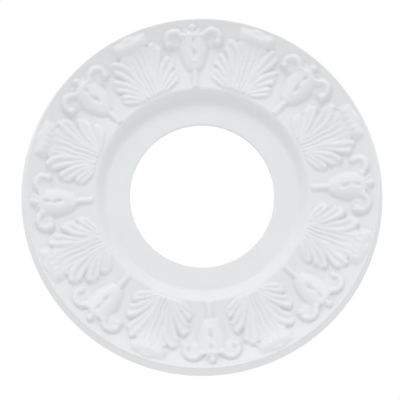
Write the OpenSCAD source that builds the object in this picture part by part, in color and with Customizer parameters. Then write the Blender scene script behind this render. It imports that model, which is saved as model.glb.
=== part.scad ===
// Ceiling rose: one moulding with a hole for the light fitting, a plain flange round it, and a coved band
// carved with tulips and palmettes in turn.
// The back lies on z = 0 and faces up, against the ceiling. The carved face looks down.

/* [Overall] */
// Diameter over the outer edge
outer_d = 254; // [220:1:320]
// Diameter of the hole for the light fitting
hole_d = 101.6; // [60:0.2:125]
// Height of the rim over the back
rim_h = 18.5; // [15:0.1:26]

/* [Flange and step] */
// Width of the plain flange round the hole
flange_w = 16; // [6:0.5:22]
// Thickness of the flange
flange_h = 3.2; // [2:0.1:6]
// Width of the step from the flange up to the shoulder
step_w = 9.4; // [4:0.1:14]
// Height of the shoulder over the back
shoulder_h = 11; // [9:0.1:15]
// Rounding of the moulding's edges
edge_r = 0.6; // [0.2:0.1:1.5]

/* [Cove and rim] */
// Height of the lowest line of the cove
cove_h = 9.6; // [7.5:0.1:12]
// Where that line lies between shoulder and rim, as a share of the band's width
cove_at = 0.38; // [0.3:0.01:0.6]
// Width of the sloping outer side
side_w = 2.4; // [1.5:0.1:8]
// Height of the upright edge at the foot of the outer side
foot_h = 1.5; // [0.5:0.1:4]

/* [Back] */
// Depth of the relieved field between the two lands of the back
relief_h = 1.2; // [0.4:0.1:2]
// Width of the land round the hole
inner_land_w = 8; // [4:0.5:20]
// Width of the land inside the outer edge
outer_land_w = 12; // [6:0.5:20]

/* [Carving] */
// Number of tulips, and of palmettes between them
motifs = 8; // [6:1:10]
// Height of the highest carving over the back
carving_h = 19; // [15.5:0.1:27]
// Diameter of the finial ball over each tulip
finial_d = 4.6; // [3:0.1:6]
// Diameter of the knob that ends each curled petal
knob_d = 5.6; // [4:0.1:6.5]
// Width of a tulip's stem
stem_w = 4.4; // [2.5:0.1:6]

/* [Hidden] */

hole_r = hole_d / 2;
outer_r = outer_d / 2;
band_in = hole_r + flange_w + step_w;
band_out = outer_r - side_w;
band_w = band_out - band_in;
// The carving is drawn in millimetres for eight motifs on a cove of these sizes, and fitted to the real one
drawn_in = 76.2;
drawn_w = 48.4;
drawn_lift = 9.4;
turn_fit = 8 / motifs;
size_fit = band_w / drawn_w;
width_fit = min(size_fit, turn_fit * (band_in + band_out) / (2 * drawn_in + drawn_w));
lift_fit = (carving_h - cove_h) / drawn_lift;
// How deep the carved forms reach under the ground that they stand on, how far their edges dip under it, and
// how deep the point lies on which the faces of each end close
root = 2.5;
dip = 0.6;
toe = 2.2;
// Facets of a full turn, and steps of the curved parts of the section
moulding_fn = 180;
ball_fn = 32;
ball_steps = 4;
edge_steps = 4;
step_steps = 6;
cove_steps = 7;
overlap = 1;

// Height of the ground of the band at radius r: a cove, lowest at cove_r
cove_r = band_in + cove_at * band_w;
function ground(r) =
    r < cove_r
        ? cove_h + (shoulder_h - cove_h) * pow((cove_r - r) / (cove_r - band_in), 2)
        : cove_h + (rim_h - cove_h) * pow((r - cove_r) / (band_out - cove_r), 2);

// Half of the moulding's section: hole wall, flange, step, cove, rim and outer side
function section() = concat(
    [[hole_r, 0]],
    [for (i = [0:edge_steps])
        let (a = 90 * i / edge_steps)
        [hole_r + edge_r * (1 - cos(a)), flange_h - edge_r * (1 - sin(a))]],
    [for (i = [0:step_steps])
        let (u = i / step_steps)
        [band_in - step_w * (1 - u), flange_h + (shoulder_h - flange_h) * (1 - cos(180 * u)) / 2]],
    [for (i = [1:cove_steps])
        let (r = band_in + band_w * i / cove_steps)
        [r, ground(r)]],
    [[band_out + edge_r, rim_h - edge_r / 2], [outer_r, foot_h], [outer_r, 0]]
);

// A drawn place, x beside the motif's axis and y out from the shoulder, fitted to the real band
function beside(x, y) =
    let (
        r = band_in + (norm([x, drawn_in + y]) - drawn_in) * size_fit,
        a = atan2(x, drawn_in + y) * turn_fit
    )
    [r * sin(a), r * cos(a)];

// The same, with the place given as an angle from the axis
function fanned(a, y) = beside((drawn_in + y) * sin(a), (drawn_in + y) * cos(a) - drawn_in);

// Point of the curve from one place, by a second, to a third, for s from 0 to 1
function bend(from, by, to, s) = (1 - s) * (1 - s) * from + 2 * s * (1 - s) * by + s * s * to;

// Carved form that follows a path of places, with a half-width and a height at each of them.
// The shape function gives the share of that height at u, from -1 to 1 across.
function form_points(path, half, high, across, shape) =
    let (last = len(path) - 1)
    concat(
        [for (i = [0:last])
            let (
                way = path[min(i + 1, last)] - path[max(i - 1, 0)],
                side = [way.y, -way.x] / norm(way) * half[i] * width_fit
            )
            each [for (j = [-1:across + 1])
                let (
                    u = 2 * min(max(j, 0), across) / across - 1,
                    p = path[i] + side * u,
                    lift = j < 0 || j > across ? -root : high[i] * lift_fit * shape(u) - dip
                )
                [p.x, p.y, ground(norm(p)) + lift]]],
        [for (p = [path[0], path[last]]) [p.x, p.y, ground(norm(p)) - toe]]
    );

function form_faces(rings, n) = concat(
    [for (i = [0:rings - 2], j = [0:n - 1])
        let (a = i * n + j, b = i * n + (j + 1) % n)
        each [[a, b + n, b], [a, a + n, b + n]]],
    [for (j = [0:n - 1]) [rings * n, j, (j + 1) % n]],
    [for (j = [0:n - 1])
        let (e = (rings - 1) * n)
        [rings * n + 1, e + (j + 1) % n, e + j]]
);

module form(path, half, high, across, shape) {
    faces = form_faces(len(path), across + 3);
    polyhedron(form_points(path, half, high, across, shape), faces, convexity = 6);
}

// Shapes across a form: round, a pair of ridges, ribs side by side, and two petals with a slit between them
round_shape = function (u) sqrt(1 - u * u);
pair_shape = function (u) sqrt(1 - u * u) * (1 - 0.45 * exp(-16 * u * u));
slit_shape = function (u) sqrt(1 - u * u) * (1 - 0.45 * exp(-30 * u * u));
rib_shape = function (u) sqrt(1 - pow(u, 4)) * (0.75 - 0.25 * cos(180 * fan_ribs * (u + 1)));

// The moulding under the carving
module moulding() {
    difference() {
        rotate_extrude($fn = moulding_fn)
            polygon(section());
        // Relieved field of the back
        translate([0, 0, -overlap])
            rotate_extrude($fn = moulding_fn)
                translate([hole_r + inner_land_w, 0])
                    square([outer_r - outer_land_w - hole_r - inner_land_w, relief_h + overlap]);
    }
}

/* Palmette: a fan of ribs under a rolled leaf tip, with three paired lobes on each side */

fan_ribs = 4;
// Each lobe, from the highest down: where it starts, what it bends by and where it ends, as [angle, height]
lobes = [
    [[3, 5], [5.4, 29], [9.2, 33]],
    [[3.9, 2.5], [8.2, 17], [12.9, 19.8]],
    [[4.6, 1.3], [9.4, 7], [13.7, 8.8]]
];
lobe_rings = 5;

module lobe(l) {
    places = [for (p = l) fanned(p[0], p[1])];
    steps = [for (i = [0:lobe_rings - 1]) i / (lobe_rings - 1)];
    form(
        [for (s = steps) bend(places[0], places[1], places[2], s)],
        [for (s = steps) 4 * pow(sin(11 + 155 * s), 0.6)],
        [for (s = steps) 1.6 + 5.6 * s * (1.12 - s)],
        4, pair_shape
    );
}

module fan() {
    rows = [0:3];
    form(
        [for (i = rows) fanned(0, 2 + 12.4 * i)],
        [for (i = rows) 4.2 + 2 * i],
        [for (i = rows) 2.6 + 0.3 * i],
        2 * fan_ribs, rib_shape
    );
}

module rolled_tip() {
    steps = [for (i = [-3:3]) i / 3];
    form(
        [for (s = steps) fanned(6.2 * s, 40.2 - 0.6 * s * s)],
        [for (s = steps) 1.6 + 2.7 * sqrt(1 - s * s)],
        [for (s = steps) 1.5 + 3.4 * sqrt(1 - s * s)],
        4, round_shape
    );
}

module palmette() {
    fan();
    rolled_tip();
    for (l = lobes) {
        lobe(l);
        mirror([1, 0])
            lobe(l);
    }
}

/* Tulip: a stem, a bell split in the middle, two petals that curl back to knobs, and a ball on a neck */

// Centre of a petal's curl, and its radius where it leaves the bell and at the knob
curl_x = 13.4;
curl_y = 34;
curl_start_r = 6;
curl_end_r = 4.9;
curl_start = 190;
curl_end = -34;
knob_h = 16.4;
finial_y = 41.8;

function curl(s) =
    let (
        r = curl_start_r + (curl_end_r - curl_start_r) * s,
        a = curl_start + (curl_end - curl_start) * s
    )
    beside(curl_x + r * cos(a), curl_y + r * sin(a));

// Round-headed boss that stands in the ground, as a ball does that is drawn from a mould
module ball(place, d, top) {
    foot = ground(norm(place)) - root;
    translate([place.x, place.y, foot])
        rotate_extrude($fn = ball_fn)
            polygon(concat(
                [[0, 0], [d / 2, 0]],
                [for (i = [0:ball_steps])
                    let (a = 90 * i / ball_steps)
                    [d / 2 * cos(a), top - foot - d / 2 * (1 - sin(a))]]
            ));
}

module petal() {
    steps = [for (i = [0:7]) i / 7];
    form(
        [for (s = steps) curl(s)],
        [for (s = steps) 2.1],
        [for (s = steps) 5.4 - 0.6 * s],
        4, round_shape
    );
    ball(curl(1), knob_d, cove_h + (knob_h - cove_h) * lift_fit);
}

module bell() {
    steps = [for (i = [0:6]) i / 6];
    form(
        [for (s = steps) beside(0, 12.2 + 25 * s)],
        [for (s = steps) 10.4 * pow(sin(14 + 108 * s), 0.7)],
        [for (s = steps) 2.6 + 3.8 * pow(sin(90 * s), 0.7)],
        6, slit_shape
    );
}

module tulip() {
    form([for (y = [0, 14]) beside(0, y)], [stem_w / 2, stem_w / 2], [2.6, 2.6], 4, round_shape);
    bell();
    petal();
    mirror([1, 0])
        petal();
    form([for (y = [35, finial_y]) beside(0, y)], [1.3, 1.3], [4.6, 3.4], 4, round_shape);
    ball(beside(0, finial_y), finial_d, carving_h);
}

module ceiling_rose() {
    color("whitesmoke")
        rotate([180, 0, 0]) {
            moulding();
            for (i = [0:motifs - 1]) {
                rotate([0, 0, 360 * i / motifs])
                    tulip();
                rotate([0, 0, 360 * (i + 0.5) / motifs])
                    palmette();
            }
        }
}

ceiling_rose();
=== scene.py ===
"""A moulded ceiling rose in satin white, hung face down, with tulips and palmettes carved in its cove.

All the moulding's sizes are in the property groups below. The carving is drawn in millimetres on a flat sheet:
x runs across a motif, and y runs outwards along its axis, from nothing at the rose's centre.
"""

import math

import bmesh
import bpy
import numpy as np
from bpy.props import FloatProperty, FloatVectorProperty, IntProperty, PointerProperty
from mathutils import Matrix, Vector


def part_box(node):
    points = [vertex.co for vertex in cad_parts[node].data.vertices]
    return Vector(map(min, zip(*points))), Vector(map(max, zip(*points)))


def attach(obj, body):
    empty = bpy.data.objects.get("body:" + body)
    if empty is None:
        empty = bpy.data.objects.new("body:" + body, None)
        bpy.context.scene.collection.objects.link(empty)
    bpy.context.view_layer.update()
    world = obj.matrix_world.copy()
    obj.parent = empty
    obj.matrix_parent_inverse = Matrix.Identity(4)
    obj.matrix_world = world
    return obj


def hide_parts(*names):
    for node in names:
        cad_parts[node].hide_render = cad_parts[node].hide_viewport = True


bl_info = {
    "name": "Ceiling rose",
    "version": (1, 0, 0),
    "blender": (4, 5, 0),
    "location": "View3D > Sidebar > Rose",
    "description": "Builds a carved ceiling rose round its packed solid, with its finish and its studio",
    "category": "Object",
}

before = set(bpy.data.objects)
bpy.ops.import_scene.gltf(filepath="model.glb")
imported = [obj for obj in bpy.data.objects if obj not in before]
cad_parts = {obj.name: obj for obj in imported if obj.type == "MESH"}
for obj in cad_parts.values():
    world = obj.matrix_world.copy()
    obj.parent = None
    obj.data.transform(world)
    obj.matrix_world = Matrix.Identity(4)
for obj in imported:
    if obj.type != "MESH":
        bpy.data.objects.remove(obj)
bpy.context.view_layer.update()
NODE = "ceiling_rose"
LOW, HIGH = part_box(NODE)
MM = 0.001
WHITE = (1.0, 1.0, 1.0, 1.0)


def size(name, text, value):
    """A length that a user would change, in metres."""
    return FloatProperty(name=name, description=text, default=value, min=0.0, unit="LENGTH", subtype="DISTANCE")


def share(name, text, value):
    """A plain number between nothing and one."""
    return FloatProperty(name=name, description=text, default=value, min=0.0, max=1.0, subtype="FACTOR")


def place(name, text, value):
    """A distance either way along an axis, in metres."""
    return FloatProperty(name=name, description=text, default=value, unit="LENGTH", subtype="DISTANCE")


def turn(name, text, degrees):
    """An angle, given in degrees."""
    return FloatProperty(name=name, description=text, default=math.radians(degrees), subtype="ANGLE")


def strength(name, text, value):
    """A light's strength or power."""
    return FloatProperty(name=name, description=text, default=value, min=0.0)


class MouldingSizes(bpy.types.PropertyGroup):
    """The turned section of the rose."""

    outer_r: size("Outer radius", "Radius over the outer edge", HIGH.x)
    carving_h: size("Carving height", "Height of the highest carving over the back", -LOW.z)
    hole_r: size("Hole radius", "Radius of the hole for the light fitting", 0.0508)
    flange_w: size("Flange width", "Width of the plain flange round the hole", 0.016)
    flange_h: size("Flange thickness", "Thickness of the flange", 0.0032)
    step_w: size("Step width", "Width of the step from the flange up to the shoulder", 0.0094)
    shoulder_h: size("Shoulder height", "Height of the shoulder over the back", 0.011)
    cove_h: size("Cove height", "Height of the lowest line of the cove", 0.0096)
    cove_at: share("Cove place", "Where that line lies between shoulder and rim", 0.39)
    rim_h: size("Rim height", "Height of the rim over the back", 0.0185)
    side_w: size("Side width", "Width of the sloping outer side", 0.0034)
    foot_h: size("Foot height", "Height of the upright edge at the foot of the outer side", 0.0015)
    edge_r: size("Edge rounding", "Rounding of the moulding's edges", 0.0006)
    relief_h: size("Back relief", "Depth of the relieved field of the back", 0.0012)
    inner_land_w: size("Inner land", "Width of the land round the hole", 0.008)
    outer_land_w: size("Outer land", "Width of the land inside the outer edge", 0.012)


class CarvingSizes(bpy.types.PropertyGroup):
    """The carved forms, and how finely they are cut."""

    motifs: IntProperty(name="Motifs", description="Number of tulips, and of palmettes between them", default=8, min=3)
    columns: IntProperty(name="Columns", description="Mesh columns in one motif's sector", default=108, min=24)
    rows: IntProperty(name="Rows", description="Mesh rows from shoulder to rim", default=84, min=24)
    softness: IntProperty(name="Softness", description="Passes that soften the cut edges", default=1, min=0, max=8)


class FinishLook(bpy.types.PropertyGroup):
    """The satin white paint, with shade painted into its cuts."""

    paint: FloatVectorProperty(
        name="Paint", description="Colour of the paint", default=(0.80, 0.815, 0.825), size=3, subtype="COLOR"
    )
    # Painted shade: the greyer colour painted where cuts and corners lie deep, in place of the shade that falls there
    recess: FloatVectorProperty(
        name="Recess", description="Colour in the deepest cuts", default=(0.70, 0.715, 0.725), size=3, subtype="COLOR"
    )
    roughness: share("Roughness", "Roughness of the paint", 0.52)


class StageLook(bpy.types.PropertyGroup):
    """Floor, white room, key light and camera."""

    floor_drop: size("Floor drop", "How far the floor lies under the rose", 2.4)
    floor_half: size("Floor reach", "How far the floor reaches each way", 12.0)
    camera_far: size("Camera distance", "Distance from the rose to the camera", 2.2)
    camera_lens: FloatProperty(name="Lens", description="Focal length in millimetres", default=281.2, min=10.0)
    camera_tilt: turn("Tilt", "How far the camera stands off the rose's axis", 9.8)
    camera_side: turn("Side", "How far to the left of the picture's foot it stands off", 5.0)
    camera_roll: turn("Roll", "How far the rose is turned in the picture", -3.4)
    aim_right: place("Aim right", "Aim beside the hole's centre", -0.00142)
    aim_up: place("Aim up", "Aim over the hole's centre", -0.00242)
    room_light: strength("Room light", "Strength of the room's even light", 0.955)
    key_power: strength("Key power", "Power of the key light in watts", 48.5)
    key_width: size("Key width", "Width of the square key light", 1.6)
    key_place: FloatVectorProperty(
        name="Key place", description="Where the key light stands", default=(-0.16, -3.0, -2.2),
        unit="LENGTH", subtype="XYZ",
    )


# ---------------------------------------------------------------------------------------------------------------
# Drawing: each form gives its height over the ground at every point of the sheet
# ---------------------------------------------------------------------------------------------------------------

# Points along a smooth curve, and along a petal's curl
CURVE_POINTS, CURL_POINTS = 20, 30


def curve(start, by, end):
    """Points of a smooth curve from one place, bent by a second, to a third."""
    s = np.linspace(0.0, 1.0, CURVE_POINTS)[:, None]
    start, by, end = (np.array(p, float) for p in (start, by, end))
    return (1 - s) ** 2 * start + 2 * s * (1 - s) * by + s ** 2 * end


def follow(x, y, path):
    """For each point of the sheet, its distance from the path and the share of the path's length there."""
    steps = np.linalg.norm(np.diff(path, axis=0), axis=1)
    reached = np.concatenate([[0.0], np.cumsum(steps)]) / steps.sum()
    away = np.full(x.shape, np.inf)
    along = np.zeros(x.shape)
    for i, (a, b) in enumerate(zip(path[:-1], path[1:])):
        way = b - a
        t = np.clip(((x - a[0]) * way[0] + (y - a[1]) * way[1]) / (way @ way), 0.0, 1.0)
        gap = np.hypot(x - a[0] - t * way[0], y - a[1] - t * way[1])
        near = gap < away
        away = np.where(near, gap, away)
        along = np.where(near, reached[i] + t * (reached[i + 1] - reached[i]), along)
    return away, along


def spread(values, along):
    """Values given evenly along a path, at each share of the way."""
    return np.interp(along, np.linspace(0.0, 1.0, len(values)), values)


def ridge(x, y, path, half, high, sharp=2.0):
    """A rounded ridge along a path, whose half-width and height are given evenly along it."""
    away, along = follow(x, y, path)
    u = np.clip(away / spread(half, along), 0.0, 1.0)
    return spread(high, along) * np.sqrt(1.0 - u ** sharp)


def groove(x, y, path, half, deep):
    """Depth of a soft groove along a path, whose depth is given evenly along it."""
    away, along = follow(x, y, np.array(path, float))
    return spread(deep, along) * np.exp(-(away / half) ** 2)


def ball(x, y, centre, radius, top):
    """A ball half sunk in the ground, whose top stands at the given height."""
    away = np.hypot(x - centre[0], y - centre[1])
    dome = top - radius + np.sqrt(np.clip(radius ** 2 - away ** 2, 0.0, None))
    return np.where(away < radius, dome, 0.0)


def dent(x, y, centre, wide, long):
    """Share of a soft oval pit or bead, one at its centre."""
    return np.exp(-((x - centre[0]) / wide) ** 2 - ((y - centre[1]) / long) ** 2)


def between(value, low, high):
    """Smooth share from nothing at low to one at high."""
    t = np.clip((value - low) / (high - low), 0.0, 1.0)
    return t * t * (3.0 - 2.0 * t)


# ---------------------------------------------------------------------------------------------------------------
# Palmette, drawn about its own axis, with y as the distance from the rose's centre
# ---------------------------------------------------------------------------------------------------------------

# Each ridge of the leaf: where it starts, what bends it and where it ends, then its greatest half-width and its
# height. Two by two they lie on the lobes. The two lower lobes are the same on both sides, the top ones are not.
LOW_RIDGES = (
    ((4.2, 78.4), (10.8, 93.0), (20.0, 97.4), 2.5, 2.9),
    ((6.4, 79.0), (12.8, 87.9), (20.4, 91.4), 2.2, 2.4),
    ((6.0, 77.0), (13.2, 83.8), (19.8, 86.0), 2.1, 2.5),
    ((8.8, 76.8), (14.2, 79.4), (18.8, 81.2), 1.8, 1.9),
)
TOP_RIDGES = {
    -1: (
        ((3.6, 84.0), (6.2, 105.8), (15.2, 108.6), 2.6, 2.9),
        ((5.0, 83.0), (9.6, 96.3), (16.8, 103.3), 2.3, 2.6),
    ),
    1: (
        ((3.8, 84.0), (9.2, 102.2), (13.8, 110.4), 2.4, 2.9),
        ((5.0, 83.0), (11.2, 96.2), (17.4, 105.8), 2.3, 2.6),
    ),
}

# How a ridge widens and rises along its way, as shares of its half-width and height
RIDGE_HALF = np.array((0.42, 0.66, 0.88, 1.0, 1.0, 0.94))
RIDGE_HIGH = np.array((0.7, 0.84, 0.94, 1.0, 1.0, 0.94))

# Body of each lobe under its ridges, in the same way
LOBES = (
    ((4.5, 83.0), (8.4, 100.6), (14.6, 106.0), 4.2, 1.6),
    ((5.2, 79.0), (12.0, 90.2), (18.6, 94.6), 4.4, 1.6),
    ((6.8, 77.2), (13.4, 81.8), (18.2, 83.8), 3.4, 1.4),
)
LOBE_HALF = np.array((0.45, 0.8, 1.0, 1.0))
LOBE_HIGH = np.array((0.4, 0.8, 1.0, 1.0))

# The low plate under the lobes: its height, and how far it reaches past each lobe
PLATE = 1.4
PLATE_FOOT = 0.6
PLATE_MORE = (0.3, 0.8, 0.6)

# Lines cut between the lobes, with their depth along them, and their half-width
LOBE_LINES = (
    (((4.8, 79.0), (8.8, 89.0), (13.4, 95.4), (19.0, 102.6)), (0.3, 1.1, 0.8, 0.2)),
    (((7.6, 79.0), (13.6, 83.9), (20.6, 87.8)), (0.4, 1.0, 0.4)),
    (((5.8, 98.0), (7.4, 105.0), (10.2, 110.0), (14.0, 112.4)), (0.3, 0.7, 0.6, 0.3)),
)
LINE_HALF = 0.7

# The fan between the leaves: its common body, with half-width and height along it, then its ribs, each with foot,
# middle and top, half-width and height, and the fold in its left half, with its half-width and depth
FAN_BODY = ((0.0, 76.0), (0.0, 94.0), (0.0, 112.0))
FAN_BODY_HALF, FAN_BODY_HIGH = (3.2, 6.8, 10.4), (0.8, 1.4, 2.2)
FAN_RIBS = (
    ((1.2, 77.4), (1.8, 94.0), (2.4, 113.0), 2.0, 2.6),
    ((3.2, 77.4), (5.0, 94.0), (6.6, 112.0), 2.1, 2.5),
    ((5.0, 92.0), (7.2, 102.0), (9.4, 110.0), 1.8, 2.3),
)
FAN_RIB_HALF, FAN_RIB_HIGH = np.array((0.5, 0.85, 1.0)), np.array((0.75, 1.0, 1.0))
FAN_FOLD = ((-0.3, 99.0), (-1.2, 106.0), (-3.8, 114.6))
FAN_FOLD_HALF, FAN_FOLD_DEEP = 0.8, (0.1, 0.5, 0.9)

# The rolled tip: where its crest and outer edge lie, its half-width, its height at the crest, how far its steep
# inner side reaches, how much the crest bends, and its crinkles: their spacing, sway and share of the height
TIP_CREST, TIP_EDGE = 115.6, 121.6
TIP_HALF = 12.8
TIP_HIGH = 3.4
TIP_INSIDE = 4.8
TIP_BEND = 0.008
TIP_LUMP, TIP_SWAY, TIP_CRINKLE = 4.3, 0.35, 0.09

# How far and how often the carver's line sways, and the radii between which the leaf rises from the shoulder
WAVE = 0.25
WAVE_TURN = 2.0 * math.pi / 15.0
LEAF_FOOT = (76.2, 78.6)


def leaf(x, y, side):
    """The lobes of one side, on one low plate: pairs of ridges that swing outwards to fat round tips."""
    across = side * x
    forms = []
    for start, by, end, half, high in LOBES:
        path = curve(start, by, end)
        plate_half = [PLATE_FOOT * half, *(half + more for more in PLATE_MORE)]
        forms.append(ridge(across, y, path, half * LOBE_HALF, high * LOBE_HIGH, 5.0))
        forms.append(ridge(across, y, path, plate_half, PLATE * LOBE_HIGH, 3.0))
    for start, by, end, half, high in LOW_RIDGES + TOP_RIDGES[side]:
        forms.append(ridge(across, y, curve(start, by, end), half * RIDGE_HALF, high * RIDGE_HIGH, 2.6))
    return np.maximum.reduce(forms)


def fan(x, y):
    """Ribs side by side that open from the foot towards the rolled tip, on a low common body."""
    body = ridge(x, y, curve(*FAN_BODY), FAN_BODY_HALF, FAN_BODY_HIGH, 4.0)
    for start, by, end, half, high in FAN_RIBS:
        rib = ridge(np.abs(x), y, curve(start, by, end), half * FAN_RIB_HALF, high * FAN_RIB_HIGH)
        body = np.maximum(body, rib)
    return body - groove(x, y, FAN_FOLD, FAN_FOLD_HALF, FAN_FOLD_DEEP) * (body > 0.0)


def rolled_tip(x, y):
    """The leaf's tip, curled over: steep and crinkled inside, a gentle lumpy slope outside."""
    lump = np.cos(2.0 * math.pi * x / TIP_LUMP)
    crest = TIP_CREST + TIP_BEND * x * x - TIP_SWAY * lump
    edge = np.sqrt(TIP_EDGE ** 2 - x * x)
    inner = np.clip((crest - y) / TIP_INSIDE, 0.0, 1.0)
    outer = np.clip((y - crest) / (edge - crest), 0.0, 1.0)
    along = np.clip(np.abs(x) / TIP_HALF, 0.0, 1.0)
    rise = np.where(y < crest, np.sqrt(1.0 - inner ** 2), 1.0 - outer ** 1.55)
    rise = rise * (1.0 - along ** 5) ** 0.7
    return TIP_HIGH * rise * (1.0 + TIP_CRINKLE * lump * (1.0 - outer))


def palmette(x, y):
    """Height of a whole palmette over the ground."""
    radius = np.hypot(x, y)
    sway = x + WAVE * np.sin(y * WAVE_TURN)
    rise = np.maximum.reduce([leaf(sway, y, -1), leaf(sway, y, 1), fan(sway, y)])
    for path, deep in LOBE_LINES:
        rise -= groove(np.abs(sway), y, path, LINE_HALF, deep) * (rise > 0.0)
    return np.maximum(rise * between(radius, *LEAF_FOOT) ** 0.6, rolled_tip(x, y))


# ---------------------------------------------------------------------------------------------------------------
# Tulip, drawn about its own axis, with y as the distance from the rose's centre
# ---------------------------------------------------------------------------------------------------------------

# The bell: where it starts and ends, its greatest half-width, how that swells from foot to lip, in degrees of a sine,
# and its height at places along it
BELL_FOOT, BELL_LIP = 88.3, 113.6
BELL_HALF = 10.4
BELL_SWELL = (14.0, 108.0)
BELL_PLACES = (BELL_FOOT, 90.0, 94.0, 98.0, 102.0, 107.0, BELL_LIP)
BELL_HIGH = (1.6, 2.6, 3.5, 4.1, 4.4, 4.4, 3.8)
# The slit between the bell's petals, with its depth along it and its half-width
SLIT = ((0.4, 96.6), (0.7, 99.4), (0.0, 102.0), (-0.7, 104.2), (-0.1, 106.6), (0.4, 109.4), (0.1, 112.4))
SLIT_DEEP = (0.3, 0.9, 1.2, 1.1, 0.9, 1.0, 0.6)
SLIT_HALF = 0.8
# Pits and beads in the slit: centre, half-width, half-length, and height, which is negative for a pit
BELL_DENTS = (
    ((0.3, 100.2), 1.4, 2.7, -1.0),
    ((0.3, 109.3), 1.0, 2.1, -0.9),
    ((1.0, 103.4), 1.2, 1.3, 0.5),
    ((-0.2, 105.8), 1.3, 0.9, 0.4),
)
# The bowed fold under the slit: how much it bows, its centre, half-width, half-length and height
FOLD_BOW = 0.12
FOLD = ((0.0, 95.2), 2.4, 0.9)
FOLD_HIGH = 0.45

# The stem, which ends a little inside the bell, with half-width and height along it
STEM = np.array(((0.0, 76.6), (0.0, 80.0), (0.0, BELL_FOOT + 1.5)))
STEM_HALF, STEM_HIGH = (2.4, 2.2, 2.4), (1.2, 2.0, 2.3)

# The lip across the bell, with half-width and height along it
LIP = ((-8.0, 112.4), (0.0, 113.0), (8.0, 112.4))
LIP_HALF, LIP_HIGH = (1.5, 1.7, 1.5), (3.7, 3.8, 3.7)

# A petal's curl: its centre, the angles in degrees and the radii at which it starts and ends, its half-width and
# height along it, and its knob's radius and top
CURL_CENTRE = (13.4, 109.8)
CURL_START, CURL_END = 165.0, -34.0
CURL_START_R, CURL_END_R = 6.0, 4.9
CURL_HALF, CURL_HIGH = (2.2, 2.5, 2.6, 2.5, 2.4), (3.6, 3.2, 2.9, 3.0, 3.2)
KNOB = (2.6, 3.8)
# The two waves of the lip beside the finial: centre, radius and top
LIP_WAVES = (((6.6, 112.7), 1.9, 3.9), ((2.9, 113.8), 1.5, 3.5))
# The low web outside the lip: centre, half-width, half-length and height
WEB = ((3.6, 115.7), 2.8, 1.5)
WEB_HIGH = 1.7
# The thin sheet inside a curl: centre, the radii between which it falls away, and height
SHEET_CENTRE = (12.2, 110.4)
SHEET_OUTER, SHEET_INNER = 7.5, 3.5
SHEET_HIGH = 1.6

# The ball over the flower, and its neck, with half-width and height along it
FINIAL = (0.0, 118.0)
FINIAL_R = 2.3
NECK = np.array(((0.0, BELL_LIP - 1.2), FINIAL))
NECK_HALF, NECK_HIGH = (3.0, 2.0, 1.5), (4.0, 3.2, 2.8)
# The ground rises outwards under the ball, so its highest point lies this share of its radius beyond its centre
FINIAL_LEAN = 0.12


def stem(x, y):
    """The stem, from the shoulder to the foot of the bell."""
    return ridge(x, y, STEM, STEM_HALF, STEM_HIGH)


def bell(x, y):
    """The cup of the flower: two full petals, a slit between them with pits and beads, and a bowed fold under it."""
    up = np.clip((y - BELL_FOOT) / (BELL_LIP - BELL_FOOT), 0.0, 1.0)
    half = BELL_HALF * np.sin(np.radians(BELL_SWELL[0] + BELL_SWELL[1] * up)) ** 0.6
    u = np.clip(np.abs(x) / half, 0.0, 1.0)
    cup = np.interp(y, BELL_PLACES, BELL_HIGH) * (1.0 - u ** 2.6) ** 0.75
    cup -= groove(x, y, SLIT, SLIT_HALF, SLIT_DEEP)
    for centre, wide, long, high in BELL_DENTS:
        cup += high * dent(x, y, centre, wide, long)
    cup += FOLD_HIGH * dent(x, y + FOLD_BOW * x * x, *FOLD)
    inside = (y > BELL_FOOT) & (y < BELL_LIP) & (np.abs(x) < half)
    return np.where(inside, np.clip(cup, 0.0, None), 0.0)


def curl():
    """Path of the petal that leaves the lip, arches over and curls back to its knob."""
    s = np.linspace(0.0, 1.0, CURL_POINTS)
    angle = np.radians(CURL_START + (CURL_END - CURL_START) * s)
    radius = CURL_START_R + (CURL_END_R - CURL_START_R) * s
    return np.stack([CURL_CENTRE[0] + radius * np.cos(angle), CURL_CENTRE[1] + radius * np.sin(angle)], axis=1)


def petals(x, y):
    """Wavy lip, the two curled petals with their knobs, and the thin sheets inside the curls."""
    across = np.abs(x)
    path = curl()
    from_sheet = np.hypot(across - SHEET_CENTRE[0], y - SHEET_CENTRE[1])
    return np.maximum.reduce([
        ridge(x, y, curve(*LIP), LIP_HALF, LIP_HIGH),
        ridge(across, y, path, CURL_HALF, CURL_HIGH),
        ball(across, y, path[-1], *KNOB),
        *(ball(across, y, *wave) for wave in LIP_WAVES),
        WEB_HIGH * dent(across, y, *WEB),
        SHEET_HIGH * between(-from_sheet, -SHEET_OUTER, -SHEET_INNER),
    ])


def finial(x, y, top):
    """The ball over the flower, on its neck, which spreads at the lip."""
    return np.maximum(ridge(x, y, NECK, NECK_HALF, NECK_HIGH), ball(x, y, FINIAL, FINIAL_R, top))


def tulip(x, y, finial_top):
    """Height of a whole tulip over the ground."""
    return np.maximum.reduce([stem(x, y), bell(x, y), petals(x, y), finial(x, y, finial_top)])


# ---------------------------------------------------------------------------------------------------------------
# The moulding
# ---------------------------------------------------------------------------------------------------------------

# Points round an edge and along the step, and how far the flange's support rings lie from its two edges
EDGE_POINTS, STEP_POINTS = 4, 13
SUPPORT = 0.3
# The rim's rounding, as shares of its radius outwards and down, and the bend in the side over its foot
RIM_ROUND = ((0.6, 0.1), (1.0, 0.7))
FOOT_BEND = (0.1, 0.3)
# Chamfer of the outer edge of the back, and how much the walls of its shallow field slope
BACK_CHAMFER, FIELD_SLOPE = 0.2, 0.4
# Passes that spread a height into its surroundings, and how far under those a point lies to take the full painted shade
# of the deepest cuts
SHADE_PASSES, SHADE_FULL_DEPTH = 14, 1.6


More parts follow.
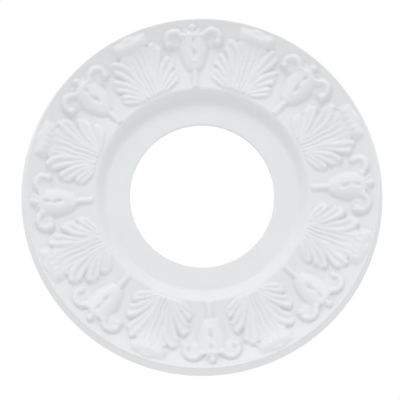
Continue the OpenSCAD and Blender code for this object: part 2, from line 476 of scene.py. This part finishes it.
class Section:
    """The turned section, in millimetres, worked out from the moulding's sizes."""

    def __init__(self, sizes):
        for name in sizes.__annotations__:
            value = getattr(sizes, name)
            setattr(self, name, value if name == "cove_at" else value / MM)
        self.band_in = self.hole_r + self.flange_w + self.step_w
        self.band_out = self.outer_r - self.side_w
        self.cove_r = self.band_in + self.cove_at * (self.band_out - self.band_in)

    def ground(self, r):
        """Height of the cove over the back."""
        inner = (self.cove_r - r) / (self.cove_r - self.band_in)
        outer = (r - self.cove_r) / (self.band_out - self.cove_r)
        lift = np.where(
            r < self.cove_r, (self.shoulder_h - self.cove_h) * inner ** 2, (self.rim_h - self.cove_h) * outer ** 2
        )
        return self.cove_h + lift

    def inside(self):
        """Points from the foot of the hole's wall to the shoulder, as (radius, height)."""
        points = [(self.hole_r, 0.0)]
        for a in np.radians(np.linspace(0.0, 90.0, EDGE_POINTS)):
            out, down = self.edge_r * (1 - math.cos(a)), self.edge_r * (1 - math.sin(a))
            points.append((self.hole_r + out, self.flange_h - down))
        foot = self.band_in - self.step_w
        points += [(self.hole_r + self.edge_r + SUPPORT, self.flange_h), (foot - SUPPORT, self.flange_h)]
        for u in np.linspace(0.0, 1.0, STEP_POINTS)[:-1]:
            lift = (self.shoulder_h - self.flange_h) * (1 - math.cos(math.pi * u)) / 2
            points.append((foot + self.step_w * u, self.flange_h + lift))
        return points

    def outside(self):
        """Points from the rim over the outer side and across the back to the hole."""
        points = [(self.band_out + self.edge_r * out, self.rim_h - self.edge_r * down) for out, down in RIM_ROUND]
        points += [
            (self.outer_r - FOOT_BEND[0], self.foot_h + FOOT_BEND[1]),
            (self.outer_r, self.foot_h),
            (self.outer_r, BACK_CHAMFER),
            (self.outer_r - BACK_CHAMFER, 0.0),
        ]
        outer, inner = self.outer_r - self.outer_land_w, self.hole_r + self.inner_land_w
        points += [(outer, 0.0), (outer - FIELD_SLOPE, self.relief_h)]
        points += [(inner + FIELD_SLOPE, self.relief_h), (inner, 0.0)]
        return points


def soften(height, passes):
    """Blunts the cut edges; the sheet runs round without an end, so its columns wrap."""
    for _ in range(passes):
        height = (np.roll(height, 1, 1) + 2.0 * height + np.roll(height, -1, 1)) / 4.0
        inner = (height[:-2] + 2.0 * height[1:-1] + height[2:]) / 4.0
        height = np.vstack([height[:1], inner, height[-1:]])
    return height


def painted_shade_share(height):
    """Share of painted shade at each point, from nothing to one: how deep it lies in a cut or a corner, by how far its
    surroundings stand over it.
    """
    return np.clip((soften(height, SHADE_PASSES) - height) / SHADE_FULL_DEPTH, 0.0, 1.0)


def sector(section, carving):
    """One motif's sector, from one palmette's axis to the next, carved face down: points, faces and shares of painted
    shade.
    """
    pitch = 2.0 * math.pi / carving.motifs
    angle = np.linspace(-pitch / 2.0, pitch / 2.0, carving.columns + 1)
    r = np.linspace(section.band_in, section.band_out, carving.rows + 1)[:, None]
    at_tulip = angle[None, :-1]
    at_palmette = np.where(at_tulip > 0.0, at_tulip - pitch / 2.0, at_tulip + pitch / 2.0)
    finial_top = section.carving_h - float(section.ground(np.array(FINIAL[1] + FINIAL_LEAN * FINIAL_R)))
    rise = tulip(r * np.sin(at_tulip), r * np.cos(at_tulip), finial_top)
    rise = np.maximum(rise, palmette(r * np.sin(at_palmette), r * np.cos(at_palmette)))
    rise = soften(rise, carving.softness)
    rise[0] = rise[-1] = 0.0
    # Painted shade, deepest in the cuts and corners of the carving; the plain rings get none
    cut = painted_shade_share(rise)
    band = np.hstack([rise, rise[:, :1]]) + section.ground(r)
    cut = np.hstack([cut, cut[:, :1]])

    flat = np.ones(carving.columns + 1)
    rings = [(ring_r * flat, ring_h * flat, 0.0 * flat) for ring_r, ring_h in section.inside()]
    rings += [(r[i, 0] * flat, band[i], cut[i]) for i in range(carving.rows + 1)]
    rings += [(ring_r * flat, ring_h * flat, 0.0 * flat) for ring_r, ring_h in section.outside()]
    radius, height, recess = (np.array(part) for part in zip(*rings))
    points = np.stack([radius * np.sin(angle), -radius * np.cos(angle), -height], axis=2) * MM
    count, wide = radius.shape
    faces = [
        (i * wide + j, i * wide + j + 1, (i + 1) % count * wide + j + 1, (i + 1) % count * wide + j)
        for i in range(count) for j in range(wide - 1)
    ]
    return points.reshape(-1, 3), faces, recess


def link(tree, source, output, target, socket):
    """Joins one node's output to another node's input, each by its name or its number."""
    tree.links.new(source.outputs[output], target.inputs[socket])


def around_tree():
    """Geometry nodes that set a sector's copies round the axis and join them into one closed mesh."""
    tree = bpy.data.node_groups.new("Rose sectors", "GeometryNodeTree")
    face = tree.interface
    face.new_socket("Geometry", in_out="INPUT", socket_type="NodeSocketGeometry")
    copies = face.new_socket("Sectors", in_out="INPUT", socket_type="NodeSocketInt")
    weld = face.new_socket("Weld distance", in_out="INPUT", socket_type="NodeSocketFloat")
    paint = face.new_socket("Paint", in_out="INPUT", socket_type="NodeSocketMaterial")
    face.new_socket("Geometry", in_out="OUTPUT", socket_type="NodeSocketGeometry")
    copies.description = "Copies of the sector in a full turn"
    weld.description = "Points nearer than this become one"

    def node(kind):
        return tree.nodes.new(kind)

    given, result = node("NodeGroupInput"), node("NodeGroupOutput")
    points, index = node("GeometryNodeMeshLine"), node("GeometryNodeInputIndex")
    pitch, spin, setting = node("ShaderNodeMath"), node("ShaderNodeMath"), node("ShaderNodeCombineXYZ")
    spots, real = node("GeometryNodeInstanceOnPoints"), node("GeometryNodeRealizeInstances")
    merge, colour = node("GeometryNodeMergeByDistance"), node("GeometryNodeSetMaterial")
    points.inputs["Offset"].default_value = (0.0, 0.0, 0.0)
    pitch.operation, spin.operation = "DIVIDE", "MULTIPLY"
    pitch.inputs[0].default_value = 2.0 * math.pi
    link(tree, given, "Sectors", points, "Count")
    link(tree, given, "Sectors", pitch, 1)
    link(tree, pitch, 0, spin, 0)
    link(tree, index, "Index", spin, 1)
    link(tree, spin, 0, setting, "Z")
    link(tree, points, "Mesh", spots, "Points")
    link(tree, given, "Geometry", spots, "Instance")
    link(tree, setting, "Vector", spots, "Rotation")
    link(tree, spots, "Instances", real, "Geometry")
    link(tree, real, "Geometry", merge, "Geometry")
    link(tree, given, "Weld distance", merge, "Distance")
    link(tree, merge, "Geometry", colour, "Geometry")
    link(tree, given, "Paint", colour, "Material")
    link(tree, colour, "Geometry", result, "Geometry")
    return tree, {"copies": copies.identifier, "weld": weld.identifier, "paint": paint.identifier}


# The paint's patterns, each as the scale and detail of its noise
MOTTLE, SHEEN, SKIN, WAVES = (38.0, 4.0), (120.0, 3.0), (900.0, 3.0), (140.0, 2.0)
# Range of the mottling, as a factor on the colour, and how far the roughness strays either way
MOTTLE_RANGE, SHEEN_RANGE = (0.965, 1.02), (-0.07, 0.09)
# Strength of each bump, and its height in metres
SKIN_BUMP, WAVES_BUMP = (0.12, 0.0003), (0.10, 0.001)
# How strongly the paint reflects
SPECULAR = 0.4


def noise(tree, where, scale, detail):
    """Noise texture on the piece's own coordinates."""
    made = tree.nodes.new("ShaderNodeTexNoise")
    made.inputs["Scale"].default_value = scale
    made.inputs["Detail"].default_value = detail
    link(tree, where, "Object", made, "Vector")
    return made


def ramp(tree, source, output, low, high):
    """Maps a value between nothing and one onto a range."""
    made = tree.nodes.new("ShaderNodeMapRange")
    made.inputs["To Min"].default_value = low
    made.inputs["To Max"].default_value = high
    link(tree, source, output, made, "Value")
    return made


def bump(tree, source, strong, high):
    """Raises a pattern from the surface."""
    made = tree.nodes.new("ShaderNodeBump")
    made.inputs["Strength"].default_value = strong
    made.inputs["Distance"].default_value = high
    link(tree, source, "Fac", made, "Height")
    return made


def satin_paint(look):
    """Satin white primer: faint mottling, a greyer painted shade in the cuts and the fine skin of a moulding."""
    paint = bpy.data.materials.new("satin_white_primer")
    paint.use_nodes = True
    tree = paint.node_tree
    shader = tree.nodes["Principled BSDF"]
    shader.inputs["Specular IOR Level"].default_value = SPECULAR
    where = tree.nodes.new("ShaderNodeTexCoord")

    # Painted shade: the paint greys towards the shade colour where a point lies deep in a cut or corner
    cuts = tree.nodes.new("ShaderNodeAttribute")
    cuts.attribute_name = "recess"
    tone = tree.nodes.new("ShaderNodeMix")
    tone.data_type = "RGBA"
    tone.inputs["A"].default_value = (*look.paint, 1.0)
    tone.inputs["B"].default_value = (*look.recess, 1.0)
    link(tree, cuts, "Fac", tone, "Factor")
    mottle = tree.nodes.new("ShaderNodeMix")
    mottle.data_type, mottle.blend_type = "RGBA", "MULTIPLY"
    mottle.inputs["Factor"].default_value = 1.0
    patches = ramp(tree, noise(tree, where, *MOTTLE), "Fac", *MOTTLE_RANGE)
    link(tree, tone, "Result", mottle, "A")
    link(tree, patches, "Result", mottle, "B")
    link(tree, mottle, "Result", shader, "Base Color")

    low, high = (look.roughness + stray for stray in SHEEN_RANGE)
    sheen = ramp(tree, noise(tree, where, *SHEEN), "Fac", low, high)
    link(tree, sheen, "Result", shader, "Roughness")

    skin = bump(tree, noise(tree, where, *SKIN), *SKIN_BUMP)
    waves = bump(tree, noise(tree, where, *WAVES), *WAVES_BUMP)
    link(tree, skin, "Normal", waves, "Normal")
    link(tree, waves, "Normal", shader, "Normal")
    return paint


def new_object(name, data):
    """Puts a mesh, a light or a camera in the scene as an object."""
    made = bpy.data.objects.new(name, data)
    bpy.context.scene.collection.objects.link(made)
    return made


# Points of two sectors that lie nearer than this, in metres, become one
WELD = 0.00002


class ROSE_OT_moulding(bpy.types.Operator):
    """Build the whole moulding with its carving"""

    bl_idname = "rose.moulding"
    bl_label = "Moulding"

    def execute(self, context):
        scene = context.scene
        section, carving = Section(scene.rose_moulding), scene.rose_carving
        points, faces, recess = sector(section, carving)
        mesh = bpy.data.meshes.new("rose_sector")
        mesh.from_pydata(points.tolist(), [], faces)
        # Each point's share of painted shade, which the paint reads
        mesh.attributes.new("recess", "FLOAT", "POINT").data.foreach_set("value", recess.ravel().astype(np.float32))
        draft = new_object("rose_sector", mesh)

        tree, sockets = around_tree()
        turned = draft.modifiers.new("Sectors", "NODES")
        turned.node_group = tree
        turned[sockets["copies"]] = carving.motifs
        turned[sockets["weld"]] = WELD
        turned[sockets["paint"]] = satin_paint(scene.rose_finish)
        context.view_layer.update()
        whole = bpy.data.meshes.new_from_object(draft.evaluated_get(context.evaluated_depsgraph_get()))
        draft.modifiers.remove(turned)
        bpy.data.objects.remove(draft)

        shell = bmesh.new()
        shell.from_mesh(whole)
        bmesh.ops.recalc_face_normals(shell, faces=shell.faces)
        shell.to_mesh(whole)
        shell.free()
        whole.shade_smooth()
        rose = new_object("ceiling_rose_carved", whole)
        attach(rose, "root")
        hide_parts(NODE)
        return {"FINISHED"}


class ROSE_OT_studio(bpy.types.Operator):
    """Set the pale floor, the white room, the key light and the camera"""

    bl_idname = "rose.studio"
    bl_label = "Studio"

    def execute(self, context):
        scene = context.scene
        look = scene.rose_stage
        lay_floor(look)
        white_room(scene, look)
        key_light(look)
        place_camera(scene, look)
        scene.view_settings.view_transform = "Standard"
        return {"FINISHED"}


# Colour and roughness of the floor
FLOOR_COLOUR = (0.86, 0.86, 0.86, 1.0)
FLOOR_ROUGHNESS = 0.9
# Where the key light points, halfway up the rose, and the width of the camera's sensor in millimetres
KEY_AIM = (0.0, 0.0, -0.01)
SENSOR = 36.0


def lay_floor(look):
    """A plain pale floor far below the rose."""
    mesh = bpy.data.meshes.new("floor")
    corners = [(-1, -1), (1, -1), (1, 1), (-1, 1)]
    half = look.floor_half
    mesh.from_pydata([(x * half, y * half, -look.floor_drop) for x, y in corners], [], [(0, 1, 2, 3)])
    floor = new_object("floor", mesh)
    pale = bpy.data.materials.new("pale_floor")
    pale.use_nodes = True
    shader = pale.node_tree.nodes["Principled BSDF"]
    shader.inputs["Base Color"].default_value = FLOOR_COLOUR
    shader.inputs["Roughness"].default_value = FLOOR_ROUGHNESS
    mesh.materials.append(pale)


def white_room(scene, look):
    """A white room: plain white behind the rose, and an even light from all sides."""
    room = bpy.data.worlds.new("white_room")
    room.use_nodes = True
    tree = room.node_tree
    seen, lit = tree.nodes["Background"], tree.nodes.new("ShaderNodeBackground")
    for background, strong in ((seen, 1.0), (lit, look.room_light)):
        background.inputs["Color"].default_value = WHITE
        background.inputs["Strength"].default_value = strong
    path, mix = tree.nodes.new("ShaderNodeLightPath"), tree.nodes.new("ShaderNodeMixShader")
    link(tree, path, "Is Camera Ray", mix, 0)
    link(tree, lit, 0, mix, 1)
    link(tree, seen, 0, mix, 2)
    link(tree, mix, 0, tree.nodes["World Output"], "Surface")
    scene.world = room


def key_light(look):
    """The one soft light, square, which faces the rose."""
    data = bpy.data.lights.new("key", "AREA")
    data.size = look.key_width
    data.energy = look.key_power
    lamp = new_object("key", data)
    lamp.location = look.key_place
    lamp.rotation_mode = "QUATERNION"
    lamp.rotation_quaternion = (Vector(KEY_AIM) - Vector(look.key_place)).to_track_quat("-Z", "Y")


def place_camera(scene, look):
    """Camera under the rose, looking up, a little to one side of its axis."""
    data = bpy.data.cameras.new("camera")
    data.lens = look.camera_lens
    data.sensor_width = SENSOR
    camera = new_object("camera", data)
    side = Matrix.Rotation(-look.camera_side, 4, "Z")
    tilt = side @ Matrix.Rotation(look.camera_tilt, 4, "X") @ side.inverted()
    way = Matrix.Rotation(math.pi, 4, "X") @ Matrix.Rotation(look.camera_roll, 4, "Z") @ tilt
    stand = Vector((look.aim_right, look.aim_up, look.camera_far))
    camera.matrix_world = way @ Matrix.Translation(stand)
    scene.camera = camera


class ROSE_PT_panel(bpy.types.Panel):
    """Lists the rose's steps"""

    bl_idname = "ROSE_PT_panel"
    bl_label = "Ceiling rose"
    bl_space_type = "VIEW_3D"
    bl_region_type = "UI"
    bl_category = "Rose"

    def draw(self, context):
        for step in STEPS:
            self.layout.operator(step.bl_idname)


SETTINGS = {
    "rose_moulding": MouldingSizes,
    "rose_carving": CarvingSizes,
    "rose_finish": FinishLook,
    "rose_stage": StageLook,
}
STEPS = (ROSE_OT_moulding, ROSE_OT_studio)


def register():
    for made in (*SETTINGS.values(), *STEPS, ROSE_PT_panel):
        bpy.utils.register_class(made)
    for name, made in SETTINGS.items():
        setattr(bpy.types.Scene, name, PointerProperty(type=made))


def unregister():
    for name in SETTINGS:
        delattr(bpy.types.Scene, name)
    for made in (ROSE_PT_panel, *reversed(STEPS), *reversed(SETTINGS.values())):
        bpy.utils.unregister_class(made)


def main():
    register()
    bpy.ops.rose.moulding()
    bpy.ops.rose.studio()


if __name__ == "__main__":
    main()
